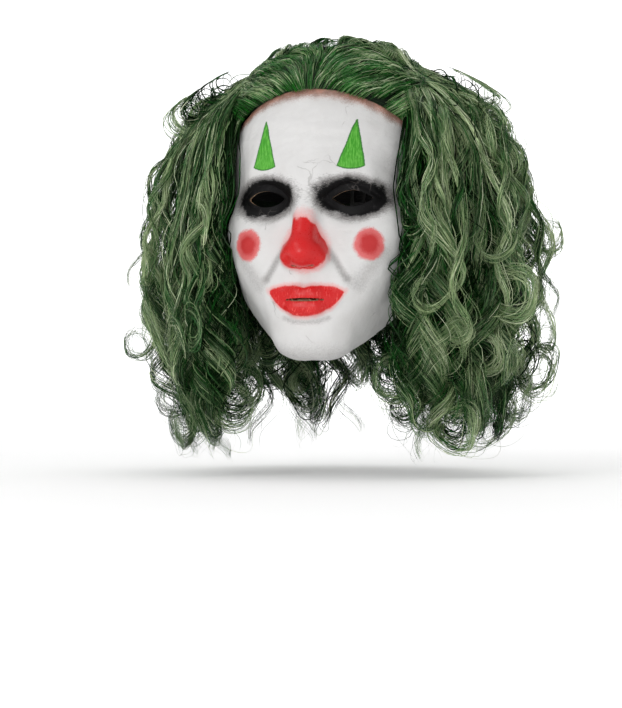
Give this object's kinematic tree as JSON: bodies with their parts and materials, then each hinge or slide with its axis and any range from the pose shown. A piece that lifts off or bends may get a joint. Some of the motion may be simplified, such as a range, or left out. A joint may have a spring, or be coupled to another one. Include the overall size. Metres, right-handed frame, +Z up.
{
  "type": "clown mask",
  "caption": "Latex clown face mask with a wig cap, an elastic strap and shoulder-length curly green hair.",
  "frame": {"origin": "centre of the wearer's head at eye level, where the mask is worn", "axes": "+Z up, -Y the way the face looks, +X to the right of someone facing the mask; mirror-symmetric about YZ"},
  "size_m": [0.3, 0.2511, 0.312],
  "materials": {
    "latex": "painted natural latex, slightly satin",
    "latex_patch": "bare natural latex patch",
    "cap_net": "dark stretch net",
    "band": "dark knitted binding",
    "weft": "sewn weft tape",
    "elastic": "woven black elastic",
    "clip": "moulded black plastic",
    "rivet": "plated eyelet rivet",
    "hair": "curly synthetic fibre, green with lighter strands"
  },
  "bodies": {
    "mask": {"face_shell": "latex", "cap_side_left": "cap_net", "cap_middle_left": "cap_net", "cap_top_left": "cap_net", "cap_top_right": "cap_net", "cap_middle_right": "cap_net", "cap_side_right": "cap_net", "cap_front_band": "band", "cap_nape_band": "band", "weft_row_1": "weft", "weft_row_2": "weft", "weft_row_3": "weft", "weft_row_4": "weft", "weft_row_5": "weft", "weft_row_6": "weft", "ear_tab_left": "band", "temple_tab_left": "latex_patch", "ear_tab_right": "band", "temple_tab_right": "latex_patch", "elastic_strap": "elastic", "strap_rivets": "rivet", "adjuster_tape_left": "elastic", "adjuster_tape_right": "elastic", "hair_front": "hair", "hair_crown": "hair", "hair_upper_left": "hair", "hair_upper_right": "hair", "hair_upper_back_left": "hair", "hair_upper_back_right": "hair"},
    "slider": {"strap_slider": "clip"},
    "hook_left": {"adjuster_hook_left": "clip"},
    "hook_right": {"adjuster_hook_right": "clip"},
    "front_lock_left": {"hair_front_lock_left": "hair"},
    "front_lock_right": {"hair_front_lock_right": "hair"},
    "side_lock_left": {"hair_side_lock_left": "hair"},
    "side_lock_right": {"hair_side_lock_right": "hair"},
    "rear_lock_left": {"hair_rear_lock_left": "hair"},
    "rear_lock_right": {"hair_rear_lock_right": "hair"},
    "back_lock_left": {"hair_back_lock_left": "hair"},
    "back_lock_right": {"hair_back_lock_right": "hair"}
  },
  "joints": [
    {"name": "slider_slide", "type": "slide", "parent": "mask", "child": "slider", "axis": [1, 0, 0], "range_m": [-0.008, 0.008]},
    {"name": "hook_left_slide", "type": "slide", "parent": "mask", "child": "hook_left", "axis": [-0.766, -0.6428, 0], "range_m": [0, 0.02]},
    {"name": "hook_right_slide", "type": "slide", "parent": "mask", "child": "hook_right", "axis": [0.766, -0.6428, 0], "range_m": [0, 0.02]},
    {"name": "front_lock_left_swing", "type": "hinge", "parent": "mask", "child": "front_lock_left", "pos_m": [-0.08125, -0.05212, -0.033], "axis": [-0.5948, 0.8039, 0], "range_deg": [0, 20]},
    {"name": "front_lock_right_swing", "type": "hinge", "parent": "mask", "child": "front_lock_right", "pos_m": [0.08125, -0.05212, -0.033], "axis": [-0.5948, -0.8039, 0], "range_deg": [0, 20]},
    {"name": "side_lock_left_swing", "type": "hinge", "parent": "mask", "child": "side_lock_left", "pos_m": [-0.10913, -0.01321, -0.033], "axis": [-0.1908, 0.9816, 0], "range_deg": [0, 30]},
    {"name": "side_lock_right_swing", "type": "hinge", "parent": "mask", "child": "side_lock_right", "pos_m": [0.10913, -0.01321, -0.033], "axis": [-0.1908, -0.9816, 0], "range_deg": [0, 30]},
    {"name": "rear_lock_left_swing", "type": "hinge", "parent": "mask", "child": "rear_lock_left", "pos_m": [-0.10359, 0.04985, -0.033], "axis": [0.3746, 0.9272, 0], "range_deg": [0, 25]},
    {"name": "rear_lock_right_swing", "type": "hinge", "parent": "mask", "child": "rear_lock_right", "pos_m": [0.10359, 0.04985, -0.033], "axis": [0.3746, -0.9272, 0], "range_deg": [0, 25]},
    {"name": "back_lock_left_swing", "type": "hinge", "parent": "mask", "child": "back_lock_left", "pos_m": [-0.045, 0.10584, -0.033], "axis": [0.9085, 0.4179, 0], "range_deg": [0, 20]},
    {"name": "back_lock_right_swing", "type": "hinge", "parent": "mask", "child": "back_lock_right", "pos_m": [0.045, 0.10584, -0.033], "axis": [0.9085, -0.4179, 0], "range_deg": [0, 20]}
  ]
}
